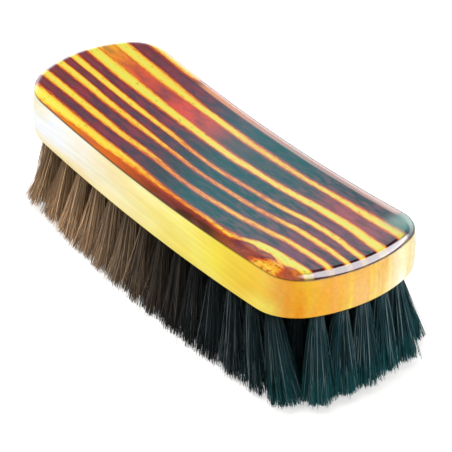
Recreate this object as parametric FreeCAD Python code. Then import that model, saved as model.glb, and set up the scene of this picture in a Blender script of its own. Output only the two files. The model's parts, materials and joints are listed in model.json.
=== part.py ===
import FreeCAD, Part
import math
import os

from FreeCAD import Vector

# A shoe shine brush: a dished hardwood block in two boards, with rows of hair tufts drawn into
# the lower board by wires that the upper board covers.
# X runs along the brush, Z is up, and the origin is on the resting plane under its middle.
# A place in the block is given as a turn about the axis that the dish is struck from, and a depth
# under the seam between the boards.

# Driving dimensions of the block, in millimetres and degrees
seam_length = 179.0
seam_width = 60.0
seam_corner_radius = 16.0
base_corner_radius = 20.0
end_half_angle = 24.0        # half the angle that the large arc of each end sweeps
side_flare = 2.4             # how far each long side stands out from the seam to the hair face
end_flare = 0.3              # the same at each end
bow_depth = 5.5              # how far the middle of the seam lies under its ends
bristle_board_thickness = 15.0
cover_thickness = 2.6
glue_film = 0.1
rim_radius = 2.0             # rounding of the cover's upper edge
base_edge_radius = 1.2       # rounding of the bristle board's lower edge

# Driving dimensions of the tufts
row_count = 7
tuft_pitch = 10.4            # along a row, before it is evened out
hole_diameter = 5.0
hole_depth = 9.0
side_wall = 4.1              # wood between the outer rows and the side faces, and round the corners
end_wall = 2.5               # wood between the last holes of the other rows and the end faces
tuft_length = 33.7           # hair that stands out of the block at its middle
tip_rise = 3.9               # how far the tips curve up from the middle to the seam's ends
rest_flat = 0.4              # how deep the lowest tips are cut flat
outer_row_lean = 7.5         # outward lean of the outer rows
corner_lean = 9.0            # lean along the brush of the outer rows' last tufts
tuft_clearance = 0.1
tip_gap = 0.6                # clearance between neighbouring tufts at their tips

# Driving dimensions of the drawing wires
wire_diameter = 0.6
loop_radius = 0.75           # centre line of the loop that holds a tuft
wire_bend_radius = 0.7       # centre line of the bends from groove to loop
loop_bite = 2.0              # depth of the loop under the crown of the tuft
wire_tail = 1.0              # wire left over in the groove past the last loop
wire_clearance = 0.1

# Heights over the resting plane, at the middle of the brush
base_height = tuft_length
seam_height = base_height + bristle_board_thickness

# The dish: concentric round one axis over the brush
bend_radius = ((seam_length / 2) ** 2 + bow_depth ** 2) / (2 * bow_depth)
bend_axis = Vector(0, 0, seam_height + bend_radius)
across = Vector(0, 1, 0)
base_radius = bend_radius + bristle_board_thickness
cover_low_radius = bend_radius - glue_film
cover_top_radius = cover_low_radius - cover_thickness

# Holes, grooves and hair
hole_radius = hole_diameter / 2
root_radius = hole_radius - tuft_clearance
hole_top_depth = bristle_board_thickness - hole_depth
crown_depth = hole_top_depth + tuft_clearance
pilot_radius = loop_radius + wire_bend_radius
groove_size = wire_diameter + 2 * wire_clearance
wire_depth = groove_size / 2
loop_depth = crown_depth + loop_bite

base_half_width = seam_width / 2 + side_flare
outer_row = base_half_width - side_wall - hole_radius
row_pitch = 2 * outer_row / (row_count - 1)
rows = [-outer_row + row * row_pitch for row in range(row_count)]


def outline_sizes(height):
    """Half length, half width, corner radius and end radius of the block's outline at a height."""
    share = (seam_height - height) / bristle_board_thickness
    half_length = seam_length / 2 + share * end_flare
    half_width = seam_width / 2 + share * side_flare
    corner = seam_corner_radius + share * (base_corner_radius - seam_corner_radius)
    end = corner + (half_width - corner) / math.sin(math.radians(end_half_angle))
    return half_length, half_width, corner, end


def outline(height):
    """The block's outline at a height: straight sides, large end arcs and tangent corner arcs."""
    half_length, half_width, corner, end = outline_sizes(height)
    turn = math.radians(end_half_angle)
    end_centre = half_length - end
    corner_x = end_centre + (end - corner) * math.cos(turn)
    corner_y = half_width - corner
    middle = (turn + math.pi / 2) / 2

    def corner_point(angle, way_x, way_y):
        x = corner_x + corner * math.cos(angle)
        y = corner_y + corner * math.sin(angle)
        return Vector(way_x * x, way_y * y, height)

    edges = []
    for way in (1, -1):
        low, high = -way, way
        start = corner_point(turn, way, low)
        stop = corner_point(turn, way, high)
        edges.append(Part.Arc(start, Vector(way * half_length, 0, height), stop).toShape())
        side = corner_point(math.pi / 2, way, high)
        edges.append(Part.Arc(stop, corner_point(middle, way, high), side).toShape())
        far_side = corner_point(math.pi / 2, -way, high)
        edges.append(Part.LineSegment(side, far_side).toShape())
        far_stop = corner_point(turn, -way, high)
        edges.append(Part.Arc(far_side, corner_point(middle, -way, high), far_stop).toShape())
    return Part.Wire(edges)


def ring_sector(inner, outer, width, half_angle, y=0.0):
    """A piece of a ring round the dish's axis, half_angle to each side of its lowest point."""
    near, far = y - width / 2, y + width / 2
    corners = [
        bend_axis + Vector(0, near, -inner),
        bend_axis + Vector(0, near, -outer),
        bend_axis + Vector(0, far, -outer),
        bend_axis + Vector(0, far, -inner),
    ]
    face = Part.Face(Part.makePolygon(corners + corners[:1]))
    face.rotate(bend_axis, across, -half_angle)
    return face.revolve(bend_axis, across, 2 * half_angle)


def rounded(board, radius, face_radius):
    """The board with the edge round its face at face_radius from the dish's axis rounded."""
    for face in board.Faces:
        surface = face.Surface
        if isinstance(surface, Part.Cylinder) and abs(surface.Radius - face_radius) < glue_film / 2:
            return board.makeFillet(radius, face.OuterWire.Edges)
    raise ValueError("no face at that radius")


def turned(shape, turn, y):
    """A shape made at the lowest point of the dish, moved to a row and turned along the dish."""
    placed = shape.copy()
    placed.translate(Vector(0, y, 0))
    placed.rotate(bend_axis, across, -math.degrees(turn))
    return placed


def at_depth(turn, along, depth, y):
    """A point at a depth under the seam, along the dish from a turn."""
    point = bend_axis + Vector(along, y, -bend_radius - depth)
    place = FreeCAD.Placement(Vector(), FreeCAD.Rotation(across, -math.degrees(turn)), bend_axis)
    return place.multVec(point)


def row_reach(y):
    """How far along X a hole in the row at y can lie and keep the end wall, or the side wall in a corner."""
    half_length, half_width, corner, end = outline_sizes(base_height)
    turn = math.radians(end_half_angle)
    end_centre = half_length - end
    end_room = end - end_wall - hole_radius
    if abs(y) <= end_room * math.sin(turn):
        return end_centre + math.sqrt(end_room ** 2 - y ** 2)
    corner_x = end_centre + (end - corner) * math.cos(turn)
    corner_room = corner - side_wall - hole_radius
    from_corner = abs(y) - (half_width - corner)
    return corner_x + math.sqrt(max(0.0, corner_room ** 2 - from_corner ** 2))


def row_turns(y):
    """The turns of the holes in the row at y, evenly spaced about the middle."""
    reach = math.asin(row_reach(y) / base_radius)
    gaps = max(2, round(2 * reach * base_radius / tuft_pitch))
    return [reach * (2 * hole / gaps - 1) for hole in range(gaps + 1)]


turns = {y: row_turns(y) for y in rows}

# Spread of the hair: each tuft stands square to the dish and widens from its hole, and leans out to the
# side with its row's distance from the middle, and along the brush towards the corners
side_shift = tuft_length * math.tan(math.radians(outer_row_lean))
tip_row_pitch = row_pitch * (1 + side_shift / outer_row)
hole_spacing = min(places[1] - places[0] for places in turns.values()) * base_radius
tip_radius = (min(tip_row_pitch, hole_spacing) - tip_gap) / 2
hair_run = tuft_length + bow_depth + tip_radius
tip_curve_radius = ((seam_length / 2) ** 2 + tip_rise ** 2) / (2 * tip_rise)


# The block before it is parted into boards, taller by some room for the cuts that part it
block_top = seam_height + bow_depth + glue_film + cover_thickness
room = 2 * bow_depth
block = Part.makeLoft([outline(base_height - room), outline(block_top + room)], True, True)
block_turn = math.degrees(math.asin((seam_length / 2 + room) / bend_radius))
block_width = 2 * base_half_width + 2 * room


def drill():
    """One stepped drilling at the lowest point: a blind hole for the tuft and a pilot hole above."""
    mouth = base_height - room
    hole_top = seam_height - hole_top_depth
    hole = Part.makeCylinder(hole_radius, hole_top - mouth, Vector(0, 0, mouth))
    pilot = Part.makeCylinder(pilot_radius, seam_height + room - mouth, Vector(0, 0, mouth))
    return hole.fuse(pilot)


def groove_end(y):
    """How far the wire's groove in a row runs, as a turn."""
    return turns[y][-1] + (pilot_radius + wire_tail + wire_clearance) / bend_radius


def bristle_board():
    """The lower board, which holds the tufts: drilled in rows, with a groove over each row."""
    band = ring_sector(bend_radius, base_radius, block_width, block_turn)
    board = rounded(block.common(band), base_edge_radius, base_radius)
    cutter = drill()
    cuts = []
    for y in rows:
        cuts += [turned(cutter, turn, y) for turn in turns[y]]
        half_angle = math.degrees(groove_end(y))
        groove_floor = bend_radius + groove_size
        cuts.append(ring_sector(bend_radius - room, groove_floor, groove_size, half_angle, y))
    return board.cut(cuts)


def cover_board():
    """The thin upper board, glued over the wires."""
    band = ring_sector(cover_top_radius, cover_low_radius, block_width, block_turn)
    return rounded(block.common(band), min(rim_radius, cover_thickness - glue_film), cover_top_radius)


def loop_edges(turn, y, tail_in, tail_out):
    """A wire's way at one tuft: out of the groove, down, round the loop, up and on along the groove."""
    leg_top = wire_depth + wire_bend_radius
    loop_centre = loop_depth - loop_radius
    corner = wire_bend_radius * (1 - math.sqrt(0.5))

    def line(*ends):
        start, stop = [at_depth(turn, along, depth, y) for along, depth in ends]
        return Part.LineSegment(start, stop).toShape()

    def arc(*points):
        start, middle, stop = [at_depth(turn, along, depth, y) for along, depth in points]
        return Part.Arc(start, middle, stop).toShape()

    edges = []
    if tail_in:
        edges.append(line((-pilot_radius - tail_in, wire_depth), (-pilot_radius, wire_depth)))
    edges.append(arc(
        (-pilot_radius, wire_depth),
        (-loop_radius - corner, wire_depth + corner),
        (-loop_radius, leg_top),
    ))
    edges.append(line((-loop_radius, leg_top), (-loop_radius, loop_centre)))
    edges.append(arc((-loop_radius, loop_centre), (0, loop_depth), (loop_radius, loop_centre)))
    edges.append(line((loop_radius, loop_centre), (loop_radius, leg_top)))
    edges.append(arc(
        (loop_radius, leg_top),
        (loop_radius + corner, wire_depth + corner),
        (pilot_radius, wire_depth),
    ))
    if tail_out:
        edges.append(line((pilot_radius, wire_depth), (pilot_radius + tail_out, wire_depth)))
    return edges


def link_edge(turn, next_turn, y):
    """The wire's run in the groove from one loop to the next, an arc tangent to both."""
    start = at_depth(turn, pilot_radius, wire_depth, y)
    stop = at_depth(next_turn, -pilot_radius, wire_depth, y)
    half_chord = (stop - start).Length / 2
    sag = half_chord * math.tan((next_turn - turn) / 4)
    down = at_depth((turn + next_turn) / 2, 0, 1, 0) - at_depth((turn + next_turn) / 2, 0, 0, 0)
    return Part.Arc(start, (start + stop) * 0.5 + down * sag, stop).toShape()


def round_wire(edges, start, way, radius):
    """A round wire along tangent edges."""
    profile = Part.Wire(Part.makeCircle(radius, start, way))
    return Part.Wire(edges).makePipeShell([profile], True, False)


def draw_wire(y):
    """The wire that draws one row of tufts into the board, in one length."""
    places = turns[y]
    edges = []
    for hole, turn in enumerate(places):
        first, last = hole == 0, hole == len(places) - 1
        edges += loop_edges(turn, y, wire_tail if first else 0, wire_tail if last else 0)
        if not last:
            edges.append(link_edge(turn, places[hole + 1], y))
    start = at_depth(places[0], -pilot_radius - wire_tail, wire_depth, y)
    way = at_depth(places[0], 0, wire_depth, y) - start
    return round_wire(edges, start, way, wire_diameter / 2)


def loop_room():
    """The space that a wire's loop takes up in a tuft, at the lowest point of the dish."""
    edges = loop_edges(0, 0, wire_tail, wire_tail)
    start = at_depth(0, -pilot_radius - wire_tail, wire_depth, 0)
    return round_wire(edges, start, Vector(1, 0, 0), wire_diameter / 2 + wire_clearance)


def trimmed_space():
    """The space over the tips: a large curve along the brush, with its lowest part cut flat."""
    width = 2 * block_width
    axis_end = Vector(0, -width / 2, tip_curve_radius - rest_flat)
    curve = Part.makeCylinder(tip_curve_radius, width, axis_end, across)
    span = 2 * seam_length
    over_rest = Part.makeBox(span, width, seam_height + span, Vector(-span / 2, -width / 2, 0))
    return curve.common(over_rest)


def circle_at(radius, height, x=0.0, y=0.0):
    return Part.Wire(Part.makeCircle(radius, Vector(x, y, height)))


def tuft(turn, y, root, space):
    """One tuft: a round root folded over the wire's loop, and hair that spreads to the trimmed tips."""
    grown = hair_run / tuft_length
    lean = math.radians(corner_lean) * abs(y / outer_row) ** 3 * turn / turns[y][-1]
    shift_x = hair_run * math.tan(lean)
    shift_y = side_shift * grown * y / outer_row
    end_radius = root_radius + grown * (tip_radius - root_radius)
    mouth = circle_at(root_radius, base_height)
    end = circle_at(end_radius, base_height - hair_run, shift_x, shift_y)
    hair = Part.makeLoft([mouth, end], True, True)
    return turned(root.fuse(hair), turn, y).common(space)


def tuft_row(y, root, space):
    return Part.makeCompound([tuft(turn, y, root, space).Solids[0] for turn in turns[y]])


def tuft_root():
    """The part of a tuft in its hole, parted where the wire's loop goes through."""
    stem = Part.makeCylinder(root_radius, hole_depth - tuft_clearance, Vector(0, 0, base_height))
    return stem.cut(loop_room())


parts = {"bristle_board": bristle_board(), "cover_board": cover_board()}
root = tuft_root()
space = trimmed_space()
for number, y in enumerate(rows, 1):
    parts[f"tuft_row_{number}"] = tuft_row(y, root, space)
    parts[f"draw_wire_{number}"] = draw_wire(y)

os.makedirs("parts", exist_ok=True)
for node, shape in parts.items():
    shape.exportStep(f"parts/{node}.step")
    box = shape.optimalBoundingBox()
    print(node, "solids", len(shape.Solids), "valid", shape.isValid(), "volume", round(shape.Volume, 1))
    print("  size", round(box.XLength, 2), round(box.YLength, 2), round(box.ZLength, 2))
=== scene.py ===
import json
import math

import bmesh
import bpy
import numpy as np
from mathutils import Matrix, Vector

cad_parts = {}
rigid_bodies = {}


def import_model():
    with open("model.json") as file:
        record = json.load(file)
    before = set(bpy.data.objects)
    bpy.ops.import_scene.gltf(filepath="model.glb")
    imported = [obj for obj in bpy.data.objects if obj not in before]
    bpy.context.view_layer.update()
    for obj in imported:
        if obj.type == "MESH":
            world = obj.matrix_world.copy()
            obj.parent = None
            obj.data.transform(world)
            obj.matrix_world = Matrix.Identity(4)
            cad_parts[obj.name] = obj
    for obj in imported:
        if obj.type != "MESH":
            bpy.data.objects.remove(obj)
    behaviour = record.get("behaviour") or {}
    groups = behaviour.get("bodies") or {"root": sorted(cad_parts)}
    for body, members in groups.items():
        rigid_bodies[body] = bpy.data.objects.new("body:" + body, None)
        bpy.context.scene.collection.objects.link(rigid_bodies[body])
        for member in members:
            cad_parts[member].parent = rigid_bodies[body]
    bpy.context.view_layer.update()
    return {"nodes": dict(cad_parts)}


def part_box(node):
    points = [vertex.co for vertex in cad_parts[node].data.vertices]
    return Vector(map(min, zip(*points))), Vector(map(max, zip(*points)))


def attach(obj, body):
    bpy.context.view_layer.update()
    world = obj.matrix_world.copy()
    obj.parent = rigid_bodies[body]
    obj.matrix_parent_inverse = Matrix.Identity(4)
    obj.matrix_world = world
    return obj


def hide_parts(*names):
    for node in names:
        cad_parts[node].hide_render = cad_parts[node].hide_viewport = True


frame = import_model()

# The bristle board: the thick lower board of the block, pale hardwood under amber lacquer.
# Its sides swell a little and stand out towards the hair, and its lower edge is sanded round.
# The hair is drawn into it from below, and the cover board is glued on top.
mm = 0.001
board_low, board_high = (Vector(corner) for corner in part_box("bristle_board"))
cover_low, cover_high = (Vector(corner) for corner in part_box("cover_board"))
glue_film = 0.1 * mm
base_height = board_low.z
seam_height = cover_low.z - glue_film
board_thickness = seam_height - base_height
bow_depth = board_high.z - seam_height
half_length = board_high.x
seam_half_width = cover_high.y
side_flare = 2.4 * mm
seam_corner, base_corner = 16 * mm, 20 * mm
end_turn = math.radians(24)
bend_radius = (half_length ** 2 + bow_depth ** 2) / (2 * bow_depth)

corner_steps, end_steps, side_steps = 10, 17, 44
seam_arris = 0.35 * mm
side_swell = 0.4 * mm
base_round = 1.1 * mm
base_lip = 0.6 * mm
flat_border, face_crown = 1.5 * mm, 0.02 * mm


def bow(x):
    """How far the dished block rises at x over its middle."""
    return bend_radius - math.sqrt(bend_radius ** 2 - x ** 2)


def outline_loop(depth, inset):
    """Adds the block's outline at a depth under the seam, drawn in by inset; returns its points' numbers."""
    share = depth / board_thickness
    corner = seam_corner + share * (base_corner - seam_corner) - inset
    width = seam_half_width + share * side_flare - inset
    length = half_length - inset
    end = corner + (width - corner) / math.sin(end_turn)
    corner_x = length - end + (end - corner) * math.cos(end_turn)
    height = seam_height - depth
    work = bpy.context.edit_object.data
    before = len(bmesh.from_edit_mesh(work).verts)
    bpy.ops.mesh.select_all(action="DESELECT")
    bpy.ops.mesh.primitive_plane_add(size=mm, location=(corner_x, width, height))
    bpy.ops.mesh.merge(type="CENTER")
    for way in (1, -1):
        bends = (
            (corner_steps, math.pi / 2 - end_turn, (way * corner_x, way * (width - corner), height)),
            (end_steps, 2 * end_turn, (way * (length - end), 0, height)),
            (corner_steps, math.pi / 2 - end_turn, (way * corner_x, way * (corner - width), height)),
        )
        for steps, turn, centre in bends:
            bpy.ops.mesh.spin(steps=steps, angle=turn, center=centre, axis=(0, 0, 1))
        step = Vector((-way * 2 * corner_x / side_steps, 0, 0))
        for _ in range(side_steps):
            bpy.ops.mesh.extrude_region_move(TRANSFORM_OT_translate={"value": step})
    bpy.ops.mesh.select_linked()
    bpy.ops.mesh.remove_doubles(threshold=0.01 * mm)
    return range(before, len(bmesh.from_edit_mesh(work).verts))


def select_edges(wanted):
    """Selects just the edges of the mesh in edit mode for which wanted(edge) is true."""
    work = bpy.context.edit_object.data
    bpy.ops.mesh.select_mode(type="EDGE")
    bpy.ops.mesh.select_all(action="DESELECT")
    mesh = bmesh.from_edit_mesh(work)
    for edge in mesh.edges:
        edge.select_set(wanted(edge))
    mesh.select_flush_mode()
    bmesh.update_edit_mesh(work)


def turned_block(name, rings):
    """A board of the block: rings of (depth, inset) bridged into a skin, closed on both faces and dished."""
    bpy.ops.object.select_all(action="DESELECT")
    bpy.ops.mesh.primitive_plane_add(size=mm)
    board = bpy.context.object
    board.name = board.data.name = name
    bpy.ops.object.mode_set(mode="EDIT")
    bpy.ops.mesh.delete(type="VERT")
    bpy.ops.mesh.select_mode(type="VERT")
    loops = [outline_loop(depth, inset) for depth, inset in rings]
    for above, below in zip(loops, loops[1:]):
        select_edges(lambda edge: all(v.index in above or v.index in below for v in edge.verts))
        bpy.ops.mesh.bridge_edge_loops()
    for loop in (loops[0], loops[-1]):
        select_edges(lambda edge: all(v.index in loop for v in edge.verts)
                     and edge.verts[0].co.y * edge.verts[1].co.y > 0)
        bpy.ops.mesh.bridge_edge_loops()
    bpy.ops.mesh.select_all(action="SELECT")
    bpy.ops.mesh.normals_make_consistent(inside=False)
    bpy.ops.object.mode_set(mode="OBJECT")
    depths = board.data.attributes.new("seam_depth", "FLOAT", "POINT")
    for corner, depth in zip(board.data.vertices, depths.data):
        depth.value = (seam_height - corner.co.z) / mm
        corner.co.z += bow(corner.co.x)
    bpy.ops.object.shade_smooth()
    return board


def quarter_round(drop, inset, steps):
    """(drop, inset) pairs of a rounded edge, from the side to the face."""
    angles = [math.pi / 2 * step / steps for step in range(steps + 1)]
    return [(drop * math.sin(angle), inset * (1 - math.cos(angle))) for angle in angles]


side_top, side_bottom = seam_arris, board_thickness + base_lip - base_round
board_rings = [(face_crown, seam_arris + flat_border)]
arris = quarter_round(seam_arris, seam_arris, 2)
board_rings += [(seam_arris - drop, inset) for drop, inset in reversed(arris)]
for step in range(1, 8):
    down = step / 8
    board_rings.append((side_top + down * (side_bottom - side_top), -4 * side_swell * down * (1 - down)))
board_rings += [(side_bottom + drop, inset) for drop, inset in quarter_round(base_round, base_round, 5)]
board_rings.append((board_thickness + base_lip + face_crown, base_round + flat_border))
bristle_board = turned_block("bristle_board_wood", board_rings)


def put(material, kind, inputs=(), **settings):
    """Adds a node, with its inputs by name or in order, each a value or another node's output."""
    node = material.node_tree.nodes.new(kind)
    for name, value in settings.items():
        setattr(node, name, value)
    for name, value in (inputs.items() if isinstance(inputs, dict) else enumerate(inputs)):
        if isinstance(value, bpy.types.NodeSocket):
            material.node_tree.links.new(value, node.inputs[name])
        else:
            node.inputs[name].default_value = value
    return node


def sum_up(material, operation, *values):
    """The result of one Math node."""
    return put(material, "ShaderNodeMath", values, operation=operation).outputs[0]


def grain(material, place, stretch, detail=3.0):
    """Noise from 0 to 1 on the given coordinates, with stretch as the cycles per metre in x, y and z."""
    stretched = put(material, "ShaderNodeMapping", {"Vector": place, "Scale": stretch}).outputs[0]
    noise = put(material, "ShaderNodeTexNoise", {"Vector": stretched, "Scale": 1.0, "Detail": detail})
    return noise.outputs["Fac"]


def tones(material, factor, stops):
    """A colour ramp from (position, colour) stops."""
    ramp = put(material, "ShaderNodeValToRGB", [factor])
    elements = ramp.color_ramp.elements
    while len(elements) < len(stops):
        elements.new(0.5)
    for element, (position, colour) in zip(elements, stops):
        element.position = position
        element.color = (*colour, 1)
    return ramp.outputs["Color"]


def spread(material, value, low, high, to_low=0.0, to_high=1.0):
    """The value carried over from low to high to another range, and kept inside it."""
    return put(material, "ShaderNodeMapRange", [value, low, high, to_low, to_high]).outputs[0]


def mixed(material, factor, under, over, way="MIX"):
    """Two colours laid over each other."""
    mix = put(material, "ShaderNodeMix", data_type="RGBA", blend_type=way)
    for socket, value in ((mix.inputs[0], factor), (mix.inputs[6], under), (mix.inputs[7], over)):
        if isinstance(value, bpy.types.NodeSocket):
            material.node_tree.links.new(value, socket)
        else:
            socket.default_value = value
    return mix.outputs[2]


def finish_material(name):
    """An empty node material with its shader, and the piece's own coordinates."""
    material = bpy.data.materials.new(name)
    material.use_nodes = True
    shader = material.node_tree.nodes["Principled BSDF"]
    place = put(material, "ShaderNodeTexCoord").outputs["Object"]
    return material, shader, place


amber, shader, place = finish_material("amber_lacquered_wood")
join = amber.node_tree.links.new
axes = put(amber, "ShaderNodeSeparateXYZ", [place])
layers = grain(amber, place, (9, 130, 14), 4)
fibres = grain(amber, place, (26, 900, 700), 2)
cloud = grain(amber, place, (26, 40, 60), 3)
# The board's own amber deepens to orange at the near end; its paling to near white towards the far end is
# painted light.
wood_colour = tones(amber, spread(amber, axes.outputs["X"], -90 * mm, 90 * mm), [
    (0.01, (0.76, 0.80, 0.54)), (0.07, (0.84, 0.86, 0.74)), (0.28, (0.94, 0.94, 0.88)),
    (0.44, (0.95, 0.92, 0.50)), (0.60, (0.95, 0.87, 0.22)), (0.74, (0.95, 0.79, 0.060)),
    (0.86, (0.94, 0.60, 0.030)),
])
depth = put(amber, "ShaderNodeAttribute", attribute_name="seam_depth").outputs["Fac"]
gold_edge = spread(amber, depth, 9.5, 14.5, 0.0, 0.55)
wood_colour = mixed(amber, gold_edge, wood_colour, (0.93, 0.74, 0.12, 1))
# The +Y half of the near end is painted paler: painted light from the lamp on the right.
near_end_painted_light = spread(amber, axes.outputs["Y"], -6 * mm, 14 * mm, 0.0, 0.95)
near_end = spread(amber, axes.outputs["X"], 60 * mm, 84 * mm)
wood_colour = mixed(amber, sum_up(amber, "MULTIPLY", near_end_painted_light, near_end), wood_colour, (0.99, 0.95, 0.50, 1))
tan_streaks = spread(amber, grain(amber, place, (10, 190, 12), 2), 0.48, 0.62, 0.0, 0.75)
left_half = spread(amber, axes.outputs["Y"], 2 * mm, 15 * mm, 1.0, 0.10)
tan_streaks = sum_up(amber, "MULTIPLY", sum_up(amber, "MULTIPLY", tan_streaks, left_half), near_end)
wood_colour = mixed(amber, tan_streaks, wood_colour, (0.90, 0.44, 0.10, 1))
streak_colour = tones(amber, layers, [
    (0.39, (0.88, 0.60, 0.50)), (0.46, (0.97, 0.84, 0.75)), (0.52, (1.0, 1.0, 1.0)), (0.60, (1.0, 1.07, 1.6)),
])
streak_share = spread(amber, axes.outputs["X"], -60 * mm, 75 * mm, 0.25, 0.75)
wood_colour = mixed(amber, streak_share, wood_colour, streak_colour, "MULTIPLY")
cloud_colour = tones(amber, cloud, [
    (0.36, (0.96, 0.88, 0.70)), (0.56, (1.0, 1.0, 1.0)), (0.66, (1.0, 1.04, 1.25)),
])
wood_colour = mixed(amber, 1.0, wood_colour, cloud_colour, "MULTIPLY")
# Deeper, mottled orange round the near-left corner of the band.
reach_y = sum_up(amber, "ABSOLUTE", axes.outputs["Y"])
corner_x = spread(amber, axes.outputs["X"], 70 * mm, 80 * mm)
corner_y = spread(amber, reach_y, 10 * mm, 24 * mm)
near_left = spread(amber, axes.outputs["Y"], -14 * mm, 4 * mm, 0.95, 0.10)
near_corner_mottle = spread(amber, grain(amber, place, (70, 120, 45), 3), 0.38, 0.58, 0.35, 1.0)
near_left = sum_up(amber, "MULTIPLY", near_left, near_corner_mottle)
near_corner_orange = sum_up(amber, "MULTIPLY", sum_up(amber, "MULTIPLY", corner_x, corner_y), near_left)
wood_colour = mixed(amber, near_corner_orange, wood_colour, (0.92, 0.33, 0.006, 1))
# A pale yellow streak where the sides turn into the near corners: a painted highlight on the lacquer.
corner_painted_highlight = sum_up(amber, "MULTIPLY", spread(amber, depth, 7, 12),
                   spread(amber, axes.outputs["X"], 58 * mm, 68 * mm, 0, 0.75))
corner_painted_highlight = sum_up(amber, "MULTIPLY", corner_painted_highlight, spread(amber, axes.outputs["X"], 74 * mm, 79 * mm, 1.0, 0.0))
wood_colour = mixed(amber, corner_painted_highlight, wood_colour, (0.98, 0.84, 0.13, 1))
# Near white at the +Y corner of the near end: painted light where the lamp on the right falls.
end_corner_painted_light = sum_up(amber, "MULTIPLY", near_end, spread(amber, axes.outputs["Y"], 18 * mm, 28 * mm, 0.0, 0.85))
wood_colour = mixed(amber, end_corner_painted_light, wood_colour, (0.99, 0.95, 0.80, 1))
fibre_shade = spread(amber, fibres, 0.3, 0.7, 0.93, 1.04)
wood_colour = mixed(amber, 1.0, wood_colour, fibre_shade, "MULTIPLY")
seam_shade = sum_up(amber, "MULTIPLY", spread(amber, depth, 0.10, 0.50, 0.92, 0.0),
                    spread(amber, axes.outputs["X"], 30 * mm, 62 * mm, 1.0, 0.5))
wood_colour = mixed(amber, seam_shade, wood_colour, (0.10, 0.038, 0.008, 1))
join(wood_colour, shader.inputs["Base Color"])
join(spread(amber, fibres, 0.2, 0.8, 0.30, 0.44), shader.inputs["Roughness"])
relief = put(amber, "ShaderNodeBump", {"Strength": 0.12, "Distance": 0.08 * mm, "Height": layers})
join(relief.outputs[0], shader.inputs["Normal"])
shader.inputs["Specular IOR Level"].default_value = 0.0
shader.inputs["Coat Weight"].default_value = 0.5
shader.inputs["Coat Roughness"].default_value = 0.08
shader.inputs["Coat IOR"].default_value = 1.4

bristle_board.data.materials.append(amber)
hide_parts("bristle_board")
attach(bristle_board, "root")

# The drawing wires: one soft steel wire for each row, in a groove of the bristle board under the cover.
# Each dips through a pilot hole at every tuft and holds the folded hair in a loop.
rows = range(1, 8)
steel, shader, place = finish_material("drawn_steel_wire")
join = steel.node_tree.links.new
drawn_lines = grain(steel, place, (60, 2600, 2600), 2)
dull_spots = grain(steel, place, (300, 300, 300), 3)
steel_colour = tones(steel, dull_spots, [(0.35, (0.42, 0.41, 0.40)), (0.65, (0.60, 0.60, 0.61))])
join(steel_colour, shader.inputs["Base Color"])
join(spread(steel, drawn_lines, 0.25, 0.75, 0.28, 0.46), shader.inputs["Roughness"])
relief = put(steel, "ShaderNodeBump", {"Strength": 0.15, "Distance": 0.02 * mm, "Height": drawn_lines})
join(relief.outputs[0], shader.inputs["Normal"])
shader.inputs["Metallic"].default_value = 1.0
for row in rows:
    wire = frame["nodes"][f"draw_wire_{row}"]
    wire.data.materials.clear()
    wire.data.materials.append(steel)

# The hair: seven rows of tufts of dark horsehair, folded over the wires and drawn up into the bristle board.
# The tufts lean out towards the edges, fan into locks, and are trimmed to one gently hollow face.
tuft_pitch = 10.4 * mm
wire_past_last_tuft = 2.45 * mm
root_radius = 1.75 * mm
root_bury = 2.0 * mm
outer_row_lean, corner_lean, left_push = math.radians(7.5), math.radians(14), math.radians(5.5)
outer_row_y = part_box("draw_wire_7")[1][1]
trim_radius, rest_flat = 1029 * mm, 0.4 * mm
hairs_outer, hairs_end, hairs_inner = 640, 900, 330
locks_of_tuft = 12
hair_points, hair_sides = 4, 3
root_thickness, tip_thickness = 0.14 * mm, 0.08 * mm
tone_bins = 256
tip_half_length = 90 * mm
inner_fan, outer_fan, end_fan, corner_fan = (5.6, 5.2), (6.2, 5.2), (6.0, 6.2), (6.0, 6.0)
lock_pull, lock_rag, hair_rag, lowest_tip = 0.4, 0.2 * mm, 0.4 * mm, 0.15 * mm
tip_scatter, stray_share, stray_scatter = 0.12, 0.02, 0.22
sway_spread, tone_spread = 0.45 * mm, 6 * mm
straightness = 0.8
chance = np.random.default_rng(11)


def in_disc(count):
    """Places spread evenly over a disc of radius 1."""
    radius = np.sqrt(chance.random(count))
    angle = chance.random(count) * 2 * math.pi
    return np.stack([radius * np.cos(angle), radius * np.sin(angle)], 1)


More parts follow.
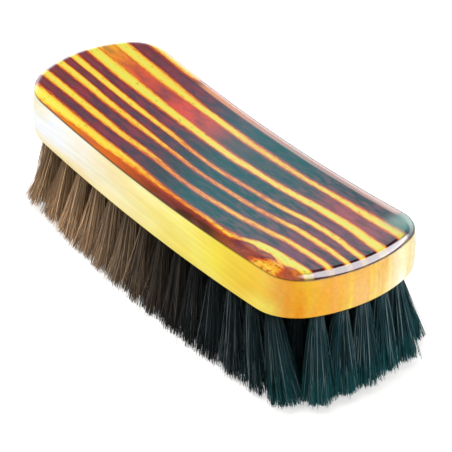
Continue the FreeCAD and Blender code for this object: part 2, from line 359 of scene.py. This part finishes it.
def hair_lines(row_y, along, reach, count, outer_row, row_end):
    """The lines of one tuft's hairs as points from root to tip, and each hair's tone bin."""
    swing = along / bend_radius
    root_ring = bend_radius + board_thickness
    root_middle = np.array([root_ring * math.sin(swing), row_y])
    root_rise = seam_height + bend_radius - root_ring * math.cos(swing)
    outwards = row_y / outer_row_y
    end_share = along / reach
    end_lean = corner_lean * abs(outwards) ** 5 * end_share + left_push * end_share ** 3 * (1 - outwards) / 2
    drawn_in = 0.85 if along < 0 else 0.6 if row_y < 0 else 0.0
    lean = np.array([end_lean, outer_row_lean * outwards * (1.1 - drawn_in * end_share ** 2)])
    if row_end:
        fan = corner_fan if outer_row else end_fan
    else:
        fan = outer_fan if outer_row else inner_fan
    unit = in_disc(count)
    locks = in_disc(locks_of_tuft)
    lock = np.argmin(((unit[:, None] - locks[None]) ** 2).sum(2), 1)
    gather = chance.uniform(0.0, lock_pull, (count, 1))
    tip_unit = unit * (1 - gather) + locks[lock] * gather
    if not row_end:
        tip_unit *= np.linalg.norm(tip_unit, axis=1, keepdims=True) / np.abs(tip_unit).max(1, keepdims=True)
    tip_unit += chance.normal(0, tip_scatter, (count, 2))
    stray = chance.random(count) < stray_share
    tip_unit[stray] += chance.normal(0, stray_scatter, (stray.sum(), 2))
    root = root_middle + unit * root_radius
    tip = root_middle + np.tan(lean) * root_rise + tip_unit * np.array(fan) * mm
    trim = trim_radius - np.sqrt(trim_radius ** 2 - tip[:, 0] ** 2) - rest_flat
    ragged = chance.normal(0, lock_rag, locks_of_tuft)[lock] + np.abs(chance.normal(0, hair_rag, count))
    tip_rise = np.clip(trim + ragged, lowest_tip, None)
    sway = chance.normal(0, sway_spread, (count, 2))
    part = np.linspace(0, 1, hair_points)[None, :, None]
    flat = root[:, None] + (tip - root)[:, None] * (straightness * part + (1 - straightness) * part ** 2)
    flat = flat + sway[:, None] * np.sin(math.pi * part)
    start = (root_rise + root_bury) * np.ones((count, 1, 1))
    lines = np.concatenate([flat, start + (tip_rise[:, None, None] - start) * part], 2)
    spot = 0.5 + (root_middle[0] + chance.normal(0, tone_spread, count)) / (2 * tip_half_length)
    return lines, np.clip((spot * tone_bins).astype(int), 0, tone_bins - 1)


def hair_row(row):
    """One row's hairs as a mesh of thin tapered tubes, with a map of tone along u and of root to tip along v.

    The lower half of v is for tufts inside the brush, the upper half for those at its edges.
    """
    low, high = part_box(f"draw_wire_{row}")
    row_y = (low[1] + high[1]) / 2
    reach = high[0] - wire_past_last_tuft
    tufts = round(2 * reach * (1 + board_thickness / bend_radius) / tuft_pitch) + 1
    outer_row = row in (rows[0], rows[-1])
    lines, bins, outer = [], [], []
    for along in np.linspace(-reach, reach, tufts):
        row_end = abs(along) > reach - tuft_pitch / 2
        hairs = hairs_outer if outer_row else hairs_end if row_end else hairs_inner
        tuft_lines, tuft_bins = hair_lines(row_y, along, reach, hairs, outer_row, row_end)
        lines.append(tuft_lines)
        bins.append(tuft_bins)
        outer.append(np.full(hairs, 0.5 if outer_row or row_end else 0.0))
    lines, bins, outer = np.concatenate(lines), np.concatenate(bins), np.concatenate(outer)
    count = len(lines)
    around = chance.random((count, 1)) * 2 * math.pi + np.arange(hair_sides) * 2 * math.pi / hair_sides
    taper = np.linspace(root_thickness, tip_thickness, hair_points)
    thickness = taper * chance.uniform(0.75, 1.25, (count, 1))
    ring = np.stack([np.cos(around), np.sin(around), np.zeros_like(around)], 2)
    corners = lines[:, :, None] + ring[:, None] * thickness[:, :, None, None]
    number = np.arange(count * hair_points * hair_sides).reshape(count, hair_points, hair_sides)
    beside = np.roll(number, -1, 2)
    walls = np.stack([number[:, :-1], number[:, 1:], beside[:, 1:], beside[:, :-1]], 3).reshape(-1, 4)
    caps = np.concatenate([number[:, 0], number[:, -1, ::-1]])
    mesh = bpy.data.meshes.new(f"hair_row_{row}")
    mesh.from_pydata(corners.reshape(-1, 3), [], walls.tolist() + caps.tolist())
    mesh.shade_smooth()
    side = np.arange(hair_sides)
    wall_sides = np.stack([side, side, side + 1, side + 1], 1).reshape(1, -1) / hair_sides
    tone_u = bins[:, None] + 0.2 + 0.6 * wall_sides
    tone_u = np.tile(tone_u.reshape(count, 1, hair_sides, 4), (1, hair_points - 1, 1, 1)) / tone_bins
    step = np.arange(hair_points - 1)
    part_v = (0.02 + 0.96 * np.stack([step, step + 1, step + 1, step], 1) / (hair_points - 1)) / 2
    part_v = np.tile(part_v[None, :, None], (count, 1, hair_sides, 1)) + outer[:, None, None, None]
    cap_u = np.tile(((bins + 0.2)[:, None] + 0.3 * np.arange(hair_sides)[None]) / tone_bins, (2, 1))
    cap_v = np.repeat([[0.006], [0.490]], count, 0) + 0.004 * np.array([[0, 1, 0]])
    cap_v = cap_v + np.tile(outer, 2)[:, None]
    tone_map = mesh.uv_layers.new(name="OFBake")
    wall_uv = np.stack([tone_u, part_v], 4).reshape(-1, 2)
    cap_uv = np.stack([cap_u, cap_v], 2).reshape(-1, 2)
    tone_map.data.foreach_set("uv", np.concatenate([wall_uv, cap_uv]).ravel())
    piece = bpy.data.objects.new(mesh.name, mesh)
    bpy.context.collection.objects.link(piece)
    return piece


hair, shader, _ = finish_material("dark_horsehair")
join = hair.node_tree.links.new
tone_place = put(hair, "ShaderNodeUVMap", uv_map="OFBake").outputs[0]
tone_axes = put(hair, "ShaderNodeSeparateXYZ", [tone_place])
whole_bin = sum_up(hair, "FLOOR", sum_up(hair, "MULTIPLY", tone_axes.outputs["X"], tone_bins))
strand = put(hair, "ShaderNodeTexWhiteNoise", {"W": whole_bin}, noise_dimensions="1D").outputs["Value"]
root_to_tip = sum_up(hair, "FRACT", sum_up(hair, "MULTIPLY", tone_axes.outputs["Y"], 2))
inside = sum_up(hair, "LESS_THAN", tone_axes.outputs["Y"], 0.5)
# The hair is dark; its blond-brown at the far end is painted warm light and its teal cast at the near end
# painted cool light.
hair_colour = tones(hair, tone_axes.outputs["X"], [
    (0.02, (0.920, 0.640, 0.370)), (0.22, (0.820, 0.530, 0.310)), (0.40, (0.520, 0.370, 0.240)),
    (0.50, (0.160, 0.120, 0.090)), (0.58, (0.028, 0.028, 0.027)), (0.76, (0.006, 0.020, 0.025)),
    (0.98, (0.008, 0.054, 0.066)),
])
strand_light = tones(hair, strand, [
    (0.0, (0.26,) * 3), (0.45, (0.58,) * 3), (0.70, (0.90,) * 3), (0.88, (1.35,) * 3),
])
hair_colour = mixed(hair, 1.0, hair_colour, strand_light, "MULTIPLY")
# A few pale strands: painted highlights of single hairs catching the light.
highlit_strands = spread(hair, strand, 0.90, 0.95, 0.0, 0.7)
strand_highlight_colour = tones(hair, tone_axes.outputs["X"], [
    (0.25, (0.85, 0.66, 0.46)), (0.50, (0.26, 0.24, 0.21)), (0.72, (0.19, 0.24, 0.26)),
    (0.96, (0.42, 0.53, 0.56)),
])
hair_colour = mixed(hair, highlit_strands, hair_colour, strand_highlight_colour)
root_shade = spread(hair, root_to_tip, 0.05, 0.85, 0.45, 1.20)
hair_colour = mixed(hair, 1.0, hair_colour, root_shade, "MULTIPLY")
# Teal on the tips at the near end: painted light from the right.
near_tips_painted_teal = sum_up(hair, "MULTIPLY", spread(hair, root_to_tip, 0.66, 1.0, 0.0, 0.75),
                   spread(hair, tone_axes.outputs["X"], 0.80, 0.95))
hair_colour = mixed(hair, near_tips_painted_teal, hair_colour, (0.010, 0.150, 0.165, 1))
inside_shade = spread(hair, root_to_tip, 0.75, 0.98, 0.28, 0.85)
hair_colour = mixed(hair, inside, hair_colour, inside_shade, "MULTIPLY")
join(hair_colour, shader.inputs["Base Color"])
join(spread(hair, strand, 0.0, 1.0, 0.42, 0.60), shader.inputs["Roughness"])
shader.inputs["Specular IOR Level"].default_value = 0.15
for row in rows:
    piece = hair_row(row)
    piece.data.materials.append(hair)
    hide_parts(f"tuft_row_{row}")
    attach(piece, "root")

# The cover board: a thin board of striped softwood, scorched dark between its pale growth layers.
# It is glued over the wires, its rim is rounded, and both boards are dipped in thick clear lacquer.
cover_thickness = 2.6 * mm
cover_arris = 0.2 * mm
rim_radius, rim_turn, rim_steps = 3.3 * mm, math.radians(72), 9
rim_width = rim_radius * math.sin(rim_turn)
rim_border = 1.2 * mm
cover_bottom, cover_top = -glue_film, -glue_film - cover_thickness
cover_rings = [(cover_bottom - face_crown, cover_arris + flat_border)]
cover_rings += [(cover_bottom - cover_arris + drop, inset)
                for drop, inset in reversed(quarter_round(cover_arris, cover_arris, 2))]
for step in range(rim_steps + 1):
    tilt = rim_turn * (1 - step / rim_steps)
    rim_drop = rim_radius * (1 - math.cos(tilt))
    cover_rings.append((cover_top + rim_drop, rim_width - rim_radius * math.sin(tilt)))
cover_rings.append((cover_top - face_crown, rim_width + rim_border))
cover_board = turned_block("cover_board_wood", cover_rings)


def profile(material, value, points):
    """A smooth curve through (value, result) points."""
    first, last = points[0][0], points[-1][0]
    results = [result for _, result in points]
    low, high = min(results), max(results)
    curve = put(material, "ShaderNodeFloatCurve", {"Value": spread(material, value, first, last)})
    knots = curve.mapping.curves[0].points
    while len(knots) < len(points):
        knots.new(0.5, 0.5)
    for knot, (at, result) in zip(knots, points):
        knot.location = ((at - first) / (last - first), (result - low) / (high - low))
    curve.mapping.update()
    return spread(material, curve.outputs[0], 0, 1, low, high)


striped, shader, place = finish_material("striped_lacquered_wood")
join = striped.node_tree.links.new
axes = put(striped, "ShaderNodeSeparateXYZ", [place])
along = sum_up(striped, "DIVIDE", axes.outputs["X"], mm)
across = sum_up(striped, "DIVIDE", axes.outputs["Y"], mm)


def patch(run, rise):
    """A soft-edged area of the striped board: a curve along it times a curve across it."""
    return sum_up(striped, "MULTIPLY", profile(striped, along, run), profile(striped, across, rise))


slanted = sum_up(striped, "MULTIPLY_ADD", across, 0.5, along)
swerve = profile(striped, slanted, [
    (-100, -1.5), (-82, -0.8), (-62, -0.3), (-42, 0), (-22, 0.2), (-2, -0.1), (18, 0.5),
    (38, 1.6), (48, 2.5), (58, 3.2), (68, 3.1), (78, 2.1), (88, 0.9), (100, 0.2),
])
swerve_share = profile(striped, across, [
    (-32, 1.0), (-27, 1.0), (-22, 1.3), (-18, 1.42), (-10, 1.05), (-4, 1.0),
    (5, 0.88), (11, 0.6), (16.5, 0.3), (24, 0.05), (32, 0),
])
knot_lift = patch([(-92, 0), (30, 0), (43, -0.9), (51, 0), (60, 2.0), (70, 2.5), (92, 1.0)],
                  [(-32, 1), (-24, 1), (-19, 0), (0, 0), (32, 0)])
waver = spread(striped, grain(striped, place, (18, 60, 0), 2), 0.25, 0.75, -0.45, 0.45)
layer = sum_up(striped, "SUBTRACT", across, sum_up(striped, "MULTIPLY", swerve, swerve_share))
layer = sum_up(striped, "ADD", sum_up(striped, "SUBTRACT", layer, knot_lift), waver)
layers = [
    (-31.4, 0.0), (-27.5, 0.87), (-26.7, 0.89), (-22.6, 0.0), (-18.9, 0.87), (-17.8, 0.88), (-14.4, 0.0),
    (-10.7, 0.84), (-9.7, 0.86), (-7.0, 0.0), (-4.3, 0.86), (-3.3, 0.88), (0.2, 0.0),
    (4.5, 1.02), (5.7, 1.02), (10.8, 0.0), (15.9, 0.95), (16.9, 0.96), (21.7, 0.0),
    (26.0, 0.74), (27.2, 0.74), (30.0, 0.62),
]
layer_stops = [((at + 32) / 64, (pale,) * 3) for at, pale in layers]
paleness = tones(striped, spread(striped, layer, -32, 32), layer_stops)
pale_limit = profile(striped, along, [
    (-92, 0.60), (-70, 0.62), (-55, 0.66), (-40, 0.71), (-20, 0.79), (-8, 0.84), (10, 0.885), (26, 0.88),
    (40, 0.84), (50, 0.79), (62, 0.72), (76, 0.70), (92, 0.70),
])
streaks = spread(striped, grain(striped, place, (26, 420, 0), 3), 0.25, 0.75, -0.09, 0.09)
blotches = grain(striped, place, (80, 230, 0), 4)
fuzz = spread(striped, grain(striped, place, (320, 1500, 0), 3), 0.25, 0.75, -0.07, 0.07)
figure = sum_up(striped, "ADD", sum_up(striped, "SUBTRACT", paleness, pale_limit), streaks)
figure = sum_up(striped, "ADD", figure, fuzz)
knot_pale = patch([(-92, 0), (49, 0), (58, 0.6), (64, 1), (84, 1), (92, 0.5)],
                  [(-32, 1), (-24, 1), (-20.5, 0), (-10, 0), (32, 0)])
figure = sum_up(striped, "MULTIPLY_ADD", knot_pale, 0.75, figure)
knot_waver = spread(striped, grain(striped, place, (60, 380, 0), 4), 0.3, 0.7, -1.3, 1.3)
lens_rise = sum_up(striped, "ADD", sum_up(striped, "MULTIPLY_ADD", along, -0.235, across), knot_waver)
lens_run = sum_up(striped, "MULTIPLY_ADD", knot_waver, 2.4, along)
lens_length = profile(striped, lens_run, [
    (-92, 0), (42, 0), (52, 0.6), (59, 0.95), (63, 0.9), (74, 0), (92, 0),
])
lens_width = profile(striped, lens_rise, [
    (-60, 0), (-45.4, 0), (-42.4, 0.9), (-40.8, 1), (-36.4, 0), (0, 0),
])
knot_dark = sum_up(striped, "MULTIPLY", lens_length, lens_width)
knot_mottle = spread(striped, grain(striped, place, (110, 700, 0), 4), 0.30, 0.66, 1.20, 0.50)
figure = sum_up(striped, "MULTIPLY_ADD", sum_up(striped, "MULTIPLY", knot_dark, knot_mottle), -0.64, figure)
corner_scorch = patch([(-92, 0), (71, 0), (80, 0.9), (92, 0.9)],
                      [(-32, 0.8), (-26, 1.0), (-19.5, 0), (0, 0), (32, 0)])
corner_scorch = sum_up(striped, "MULTIPLY", corner_scorch, spread(striped, knot_waver, -1.2, 1.2, 1.2, 0.4))
figure = sum_up(striped, "MULTIPLY_ADD", corner_scorch, -0.54, figure)
far_edge = patch([(-92, 0.10), (-70, 0.12), (-40, 0.16), (-20, 0.16), (-5, 0.08), (12, 0), (92, 0)],
                 [(-32, 1), (-28.5, 1), (-26.5, 0), (0, 0), (32, 0)])
figure = sum_up(striped, "ADD", figure, far_edge)
near_edge = patch([(-92, 0), (-52, 0), (-36, 0.6), (92, 0.6)], [(-32, 0), (0, 0), (23, 0), (25, 1), (32, 1)])
figure = sum_up(striped, "SUBTRACT", figure, near_edge)
scorch_colour = tones(striped, spread(striped, along, -90, 90), [
    (0.0, (0.260, 0.052, 0.045)), (0.10, (0.150, 0.050, 0.058)), (0.22, (0.100, 0.056, 0.078)),
    (0.38, (0.070, 0.052, 0.072)), (0.47, (0.040, 0.034, 0.040)), (0.55, (0.030, 0.022, 0.020)),
    (1.0, (0.026, 0.018, 0.017)),
])
plum = patch([(-92, 0), (38, 0), (50, 0.7), (64, 1), (76, 1), (84, 0.2), (92, 0)],
             [(-32, 1), (0, 1), (14, 1), (19, 0), (32, 0)])
plum = sum_up(striped, "MULTIPLY", plum, spread(striped, blotches, 0.42, 0.56, 0.25, 1.0))
scorch_colour = mixed(striped, plum, scorch_colour, (0.190, 0.042, 0.066, 1))
crimson = sum_up(striped, "MULTIPLY", spread(striped, blotches, 0.46, 0.60, 0.0, 0.75),
                 profile(striped, along, [(-92, 1), (-40, 0.9), (-12, 0.3), (4, 0), (92, 0)]))
scorch_colour = mixed(striped, crimson, scorch_colour, (0.340, 0.046, 0.062, 1))
speckle_run = profile(striped, along, [
    (-92, 0.8), (-40, 0.7), (-5, 0.25), (25, 0.35), (45, 0.9), (92, 0.9),
])
speckle = spread(striped, grain(striped, place, (150, 620, 0), 3), 0.44, 0.62, 0.0, 0.6)
speckle = sum_up(striped, "MULTIPLY", speckle, speckle_run)
scorch_colour = mixed(striped, speckle, scorch_colour, (0.270, 0.070, 0.090, 1))
lens_colour = tones(striped, spread(striped, knot_waver, -1.0, 1.0), [
    (0.2, (0.480, 0.120, 0.060)), (0.5, (0.320, 0.075, 0.066)), (0.8, (0.220, 0.056, 0.064)),
])
scorch_colour = mixed(striped, knot_dark, scorch_colour, lens_colour)
layer_colour = tones(striped, spread(striped, figure, -0.5, 0.5), [
    (0.20, (0.130, 0.034, 0.036)), (0.34, (0.300, 0.050, 0.034)), (0.42, (0.600, 0.105, 0.026)),
    (0.485, (0.800, 0.235, 0.030)), (0.55, (0.920, 0.480, 0.040)), (0.64, (0.930, 0.700, 0.075)),
    (0.85, (0.860, 0.790, 0.110)),
])
scorched = spread(striped, figure, -0.40, -0.16, 1.0, 0.0)
layer_colour = mixed(striped, scorched, layer_colour, scorch_colour)
red_layer = profile(striped, layer, [(-32, 0), (5.5, 0), (7.5, 1), (14, 1), (16, 0), (32, 0)])
red_run = profile(striped, along, [
    (-92, 1.0), (-68, 1.0), (-56, 0.75), (-46, 0.45), (-37, 0.95), (-24, 0.8), (-12, 0.4), (2, 0.1),
    (40, 0.05), (52, 0.35), (70, 0.35), (80, 0.1), (92, 0.0),
])
red_run = sum_up(striped, "MULTIPLY", red_run, spread(striped, blotches, 0.40, 0.54, 0.55, 1.0))
red_colour = tones(striped, spread(striped, along, -90, 90), [
    (0.02, (0.91, 0.48, 0.030)), (0.07, (0.88, 0.28, 0.026)), (0.14, (0.82, 0.13, 0.045)),
    (0.30, (0.76, 0.095, 0.066)), (1.0, (0.62, 0.090, 0.070)),
])
edge_run = profile(striped, across, [(-32, 1), (-29, 1), (-27.5, 0), (0, 0), (32, 0)])
edge_colour = tones(striped, spread(striped, along, -90, 90), [
    (0.15, (0.72, 0.22, 0.014)), (0.38, (0.62, 0.125, 0.016)), (0.48, (0.300, 0.058, 0.016)),
    (0.57, (0.066, 0.020, 0.009)), (0.70, (0.080, 0.024, 0.009)), (0.78, (0.400, 0.085, 0.012)),
])
edge_run = sum_up(striped, "MULTIPLY", edge_run, spread(striped, blotches, 0.36, 0.52, 0.7, 1.0))
heat_colour = mixed(striped, edge_run, red_colour, edge_colour)
heat_colour = mixed(striped, corner_scorch, heat_colour, (0.74, 0.22, 0.026, 1))
heat = sum_up(striped, "MAXIMUM", sum_up(striped, "MULTIPLY", red_layer, red_run), edge_run)
heat = sum_up(striped, "MAXIMUM", heat, sum_up(striped, "MULTIPLY", corner_scorch, 0.8))
heat = sum_up(striped, "MULTIPLY", heat, spread(striped, knot_dark, 0.0, 0.6, 1.0, 0.0))
heat = sum_up(striped, "MULTIPLY", heat, spread(striped, figure, -0.13, -0.02, 1.0, 0.0))
layer_colour = mixed(striped, heat, layer_colour, heat_colour)
# A rose line along the +Y edge of the top: a painted reflection of the bright horizon in the rim.
rose_rim_reflection = patch([(-92, 0), (-50, 0), (-38, 1), (70, 1), (75, 0), (92, 0)],
                   [(-32, 0), (0, 0), (24.4, 0), (25.3, 1), (27.2, 1), (28.3, 0), (32, 0)])
rose_reflection_colour = tones(striped, spread(striped, along, -90, 90), [
    (0.28, (0.80, 0.30, 0.12)), (0.44, (0.66, 0.28, 0.20)), (0.58, (0.50, 0.28, 0.23)),
])
layer_colour = mixed(striped, rose_rim_reflection, layer_colour, rose_reflection_colour)
# Green-teal over the near +Y corner of the top: a painted reflection of a cool wall in the lacquer.
teal_corner_reflection = patch([(-92, 0), (69, 0), (77, 0.75), (92, 0.75)],
                     [(-32, 0), (14, 0), (19, 0.7), (24, 1), (32, 1)])
layer_colour = mixed(striped, teal_corner_reflection, layer_colour, (0.16, 0.34, 0.27, 1))
pores = spread(striped, grain(striped, place, (300, 1300, 0), 1), 0.66, 0.74, 0.0, 0.55)
speckled = patch([(-92, 0), (30, 0), (42, 1), (84, 1), (92, 1)],
                 [(-32, 1), (-27, 0.9), (-22, 0), (0, 0), (32, 0)])
speckles = spread(striped, grain(striped, place, (620, 900, 0), 2), 0.56, 0.66, 0.0, 0.75)
pores = sum_up(striped, "MAXIMUM", pores, sum_up(striped, "MULTIPLY", speckles, speckled))
layer_colour = mixed(striped, pores, layer_colour, (0.20, 0.055, 0.016, 1))
depth = put(striped, "ShaderNodeAttribute", attribute_name="seam_depth").outputs["Fac"]
near_line = sum_up(striped, "MULTIPLY", spread(striped, depth, -2.69, -2.63), spread(striped, along, 80, 84))
near_line = sum_up(striped, "MULTIPLY", near_line, spread(striped, figure, -0.20, -0.08, 0.85, 0.0))
layer_colour = mixed(striped, near_line, layer_colour, (0.030, 0.006, 0.010, 1))
near_rim = spread(striped, depth, -2.42, -2.25, 0.0, 0.85)
near_rim = sum_up(striped, "MULTIPLY", near_rim, spread(striped, along, 80, 85))
near_rim = sum_up(striped, "MULTIPLY", near_rim, spread(striped, across, 17, 24, 1.0, 0.0))
layer_colour = mixed(striped, near_rim, layer_colour, (0.06, 0.02, 0.02, 1))
seam_shade = sum_up(striped, "MULTIPLY", spread(striped, depth, -0.55, -0.2, 0.0, 0.9),
                    spread(striped, along, 30, 62, 1.0, 0.5))
layer_colour = mixed(striped, seam_shade, layer_colour, (0.06, 0.022, 0.008, 1))
join(layer_colour, shader.inputs["Base Color"])
join(spread(striped, streaks, -0.11, 0.11, 0.34, 0.46), shader.inputs["Roughness"])
relief = put(striped, "ShaderNodeBump", {"Strength": 0.06, "Distance": 0.05 * mm, "Height": figure})
join(relief.outputs[0], shader.inputs["Normal"])
shader.inputs["Specular IOR Level"].default_value = 0.0
dull = sum_up(striped, "MAXIMUM", speckled, edge_run)
join(spread(striped, dull, 0.0, 1.0, 1.0, 0.35), shader.inputs["Coat Weight"])
shader.inputs["Coat Roughness"].default_value = 0.05
shader.inputs["Coat IOR"].default_value = 1.55

cover_board.data.materials.append(striped)
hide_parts("cover_board")
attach(cover_board, "root")

# The stage: a white table, soft light from above, left and right, and the photograph's camera.
# Only mirror rays see the bright horizon, the cool wall above it, the dark ceiling and the two white cards.
bpy.ops.object.select_all(action="DESELECT")
bpy.ops.mesh.primitive_plane_add(size=6)
floor = bpy.context.object
floor.name = "floor"
table = bpy.data.materials.new("white_table")
table.use_nodes = True
table_paint = table.node_tree.nodes["Principled BSDF"]
table_paint.inputs["Base Color"].default_value = (0.86, 0.86, 0.86, 1)
table_paint.inputs["Roughness"].default_value = 0.8
table_paint.inputs["Specular IOR Level"].default_value = 0.0
rays = put(table, "ShaderNodeLightPath")
seen = sum_up(table, "MULTIPLY", rays.outputs["Is Camera Ray"], 0.5)
white = put(table, "ShaderNodeEmission", {"Strength": seen}).outputs[0]
lit = put(table, "ShaderNodeAddShader", [table_paint.outputs[0], white]).outputs[0]
table.node_tree.links.new(lit, table.node_tree.nodes["Material Output"].inputs["Surface"])
floor.data.materials.append(table)

room = bpy.data.worlds.new("studio")
bpy.context.scene.world = room
room.use_nodes = True
plain = room.node_tree.nodes["Background"]
plain.inputs["Color"].default_value = (1, 1, 1, 1)
plain.inputs["Strength"].default_value = 0.45
direction = put(room, "ShaderNodeTexCoord").outputs["Generated"]
rise = put(room, "ShaderNodeSeparateXYZ", [direction]).outputs["Z"]
wall = tones(room, rise, [
    (0.39, (2.8, 3.0, 3.2)), (0.404, (1.7, 2.1, 2.3)), (0.416, (0.60, 0.95, 1.15)),
    (0.445, (0.34, 0.95, 1.20)), (0.475, (0.28, 1.40, 1.60)), (0.525, (0.26, 1.50, 1.70)),
    (0.545, (0.24, 0.85, 1.00)), (0.572, (0.14, 0.30, 0.40)), (0.61, (0.08, 0.10, 0.17)),
    (0.70, (0.05, 0.05, 0.07)),
])


def facing(way):
    """How far the direction looked in agrees with a way."""
    product = put(room, "ShaderNodeVectorMath", [direction, way], operation="DOT_PRODUCT")
    return product.outputs["Value"]


behind = spread(room, facing((-0.6, 0.8, 0)), -0.2, 0.5, 0.1, 1.0)
wall_light = put(room, "ShaderNodeBackground", {"Color": wall, "Strength": behind}).outputs[0]
near_card = spread(room, facing((0.62, 0.42, 0.66)), 0.66, 0.76, 0.0, 13.0)
corner_card = spread(room, facing((0.60, -0.20, 0.77)), 0.80, 0.92, 0.0, 10.0)
card = sum_up(room, "MAXIMUM", near_card, corner_card)
card_light = put(room, "ShaderNodeBackground", {"Color": (0.98, 0.96, 1, 1), "Strength": card}).outputs[0]
mirrored = put(room, "ShaderNodeAddShader", [wall_light, card_light]).outputs[0]
room_rays = put(room, "ShaderNodeLightPath")
mirror_ray = room_rays.outputs["Is Glossy Ray"]
both = put(room, "ShaderNodeMixShader", [mirror_ray, plain.outputs[0], mirrored]).outputs[0]
room.node_tree.links.new(both, room.node_tree.nodes["World Output"].inputs["Surface"])

aim = Vector((4.96, 1.39, 23.42)) * mm
azimuth, elevation, distance = math.radians(53.35), math.radians(33.82), 784.66 * mm
back = Vector((math.sin(azimuth), -math.cos(azimuth), math.tan(elevation))) * math.cos(elevation)
bpy.ops.object.camera_add(location=aim + back * distance)
camera = bpy.context.object
camera.rotation_euler = back.to_track_quat("Z", "Y").to_euler()
camera.data.lens = 168.4
bpy.context.scene.camera = camera


def softbox(name, place, towards, size, energy, colour):
    """A soft lamp at a place, turned towards a point."""
    bpy.ops.object.light_add(type="AREA", location=place)
    lamp = bpy.context.object
    lamp.name = name
    lamp.rotation_euler = (Vector(place) - Vector(towards)).to_track_quat("Z", "Y").to_euler()
    lamp.data.shape = "RECTANGLE"
    lamp.data.size, lamp.data.size_y = size
    lamp.data.energy = energy
    lamp.data.color = colour
    return lamp


overhead = softbox("overhead", (-0.1, -0.2, 1.1), (0, 0, 0.03), (0.8, 0.8), 6, (1, 0.98, 0.95))
left_key = softbox("left key", (-0.38, -0.42, 0.22), (-0.06, 0, 0.03), (0.3, 0.3), 1.2, (1, 0.95, 0.86))
right_fill = softbox("right fill", (0.75, 0.15, 0.28), (0.09, 0, 0.04), (0.35, 0.35), 2.4, (1, 0.97, 0.92))
overhead.visible_glossy = left_key.visible_glossy = right_fill.visible_glossy = False
bpy.context.scene.view_settings.view_transform = "Standard"
